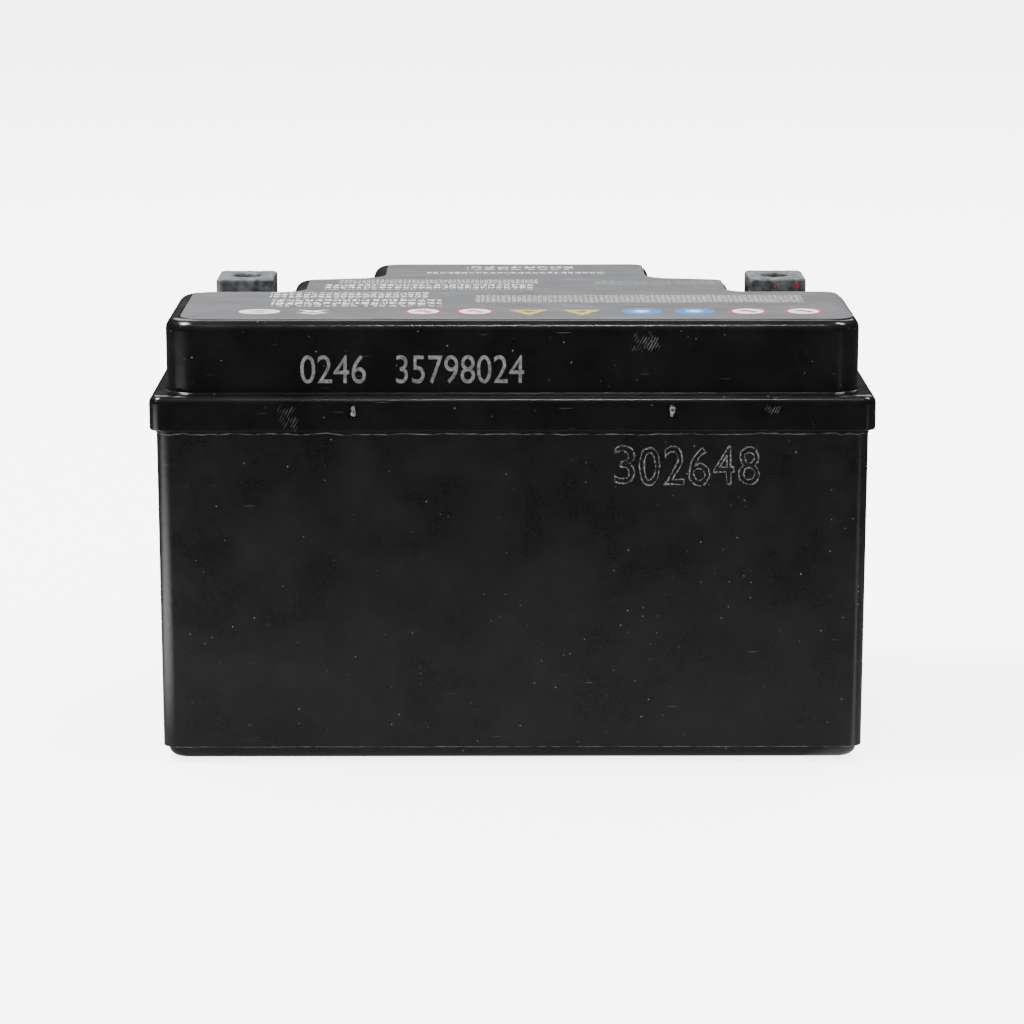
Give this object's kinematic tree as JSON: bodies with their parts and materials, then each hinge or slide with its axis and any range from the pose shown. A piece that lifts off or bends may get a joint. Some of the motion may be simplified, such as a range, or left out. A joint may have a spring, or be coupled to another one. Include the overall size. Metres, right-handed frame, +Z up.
{
  "type": "motorcycle battery",
  "caption": "Sealed lead-acid battery in a black plastic box, with a stepped lid and square cast terminals that take bolts and loose nuts; it powers a motorcycle.",
  "frame": {"origin": "the middle of the base, on the surface that the battery stands on", "axes": "+X along the length towards the positive terminal, +Y towards the terminals, +Z up"},
  "size_m": [0.15, 0.087, 0.094],
  "materials": {
    "case_black": "satin",
    "lid_black": "gloss",
    "cover_black": "satin",
    "label_film": "satin",
    "cast_lead": "matte",
    "zinc_steel": "satin",
    "valve_rubber": "matte",
    "seal_rubber": "satin",
    "resin_black": "gloss",
    "resin_red": "gloss",
    "porous_disc": "matte",
    "positive_paste": "matte",
    "negative_paste": "matte",
    "glass_mat": "matte"
  },
  "bodies": {
    "battery_case": {"container": "case_black", "lid": "lid_black", "vent_cover": "cover_black", "label": "label_film", "terminal_negative": "cast_lead", "terminal_positive": "cast_lead", "post_negative": "cast_lead", "post_positive": "cast_lead", "seal_ring_negative": "seal_rubber", "seal_ring_positive": "seal_rubber", "resin_negative": "resin_black", "resin_positive": "resin_red", "flame_arrestor_left": "porous_disc", "flame_arrestor_right": "porous_disc", "intercell_weld_1": "cast_lead", "intercell_weld_2": "cast_lead", "intercell_weld_3": "cast_lead", "intercell_weld_4": "cast_lead", "intercell_weld_5": "cast_lead", "cell_1_positive_plates": "positive_paste", "cell_1_negative_plates": "negative_paste", "cell_1_separators": "glass_mat", "cell_1_positive_strap": "cast_lead", "cell_1_negative_strap": "cast_lead", "cell_2_positive_plates": "positive_paste", "cell_2_negative_plates": "negative_paste", "cell_2_separators": "glass_mat", "cell_2_positive_strap": "cast_lead", "cell_2_negative_strap": "cast_lead", "cell_3_positive_plates": "positive_paste", "cell_3_negative_plates": "negative_paste", "cell_3_separators": "glass_mat", "cell_3_positive_strap": "cast_lead", "cell_3_negative_strap": "cast_lead", "cell_4_positive_plates": "positive_paste", "cell_4_negative_plates": "negative_paste", "cell_4_separators": "glass_mat", "cell_4_positive_strap": "cast_lead", "cell_4_negative_strap": "cast_lead", "cell_5_positive_plates": "positive_paste", "cell_5_negative_plates": "negative_paste", "cell_5_separators": "glass_mat", "cell_5_positive_strap": "cast_lead", "cell_5_negative_strap": "cast_lead", "cell_6_positive_plates": "positive_paste", "cell_6_negative_plates": "negative_paste", "cell_6_separators": "glass_mat", "cell_6_positive_strap": "cast_lead", "cell_6_negative_strap": "cast_lead"},
    "negative_nut": {"nut_negative": "zinc_steel"},
    "positive_nut": {"nut_positive": "zinc_steel"},
    "vent_valve_1": {"valve_cap_1": "valve_rubber"},
    "vent_valve_2": {"valve_cap_2": "valve_rubber"},
    "vent_valve_3": {"valve_cap_3": "valve_rubber"},
    "vent_valve_4": {"valve_cap_4": "valve_rubber"},
    "vent_valve_5": {"valve_cap_5": "valve_rubber"},
    "vent_valve_6": {"valve_cap_6": "valve_rubber"}
  },
  "joints": [
    {"name": "negative_nut_slide", "type": "slide", "parent": "battery_case", "child": "negative_nut", "axis": [-1, 0, 0], "range_m": [0, 0.014]},
    {"name": "positive_nut_slide", "type": "slide", "parent": "battery_case", "child": "positive_nut", "axis": [1, 0, 0], "range_m": [0, 0.014]},
    {"name": "vent_valve_1_lift", "type": "slide", "parent": "battery_case", "child": "vent_valve_1", "axis": [0, 0, 1], "range_m": [0, 0.0008], "stiffness_N_per_m": 300, "springref_m": -0.001},
    {"name": "vent_valve_2_lift", "type": "slide", "parent": "battery_case", "child": "vent_valve_2", "axis": [0, 0, 1], "range_m": [0, 0.0008], "stiffness_N_per_m": 300, "springref_m": -0.001},
    {"name": "vent_valve_3_lift", "type": "slide", "parent": "battery_case", "child": "vent_valve_3", "axis": [0, 0, 1], "range_m": [0, 0.0008], "stiffness_N_per_m": 300, "springref_m": -0.001},
    {"name": "vent_valve_4_lift", "type": "slide", "parent": "battery_case", "child": "vent_valve_4", "axis": [0, 0, 1], "range_m": [0, 0.0008], "stiffness_N_per_m": 300, "springref_m": -0.001},
    {"name": "vent_valve_5_lift", "type": "slide", "parent": "battery_case", "child": "vent_valve_5", "axis": [0, 0, 1], "range_m": [0, 0.0008], "stiffness_N_per_m": 300, "springref_m": -0.001},
    {"name": "vent_valve_6_lift", "type": "slide", "parent": "battery_case", "child": "vent_valve_6", "axis": [0, 0, 1], "range_m": [0, 0.0008], "stiffness_N_per_m": 300, "springref_m": -0.001}
  ]
}
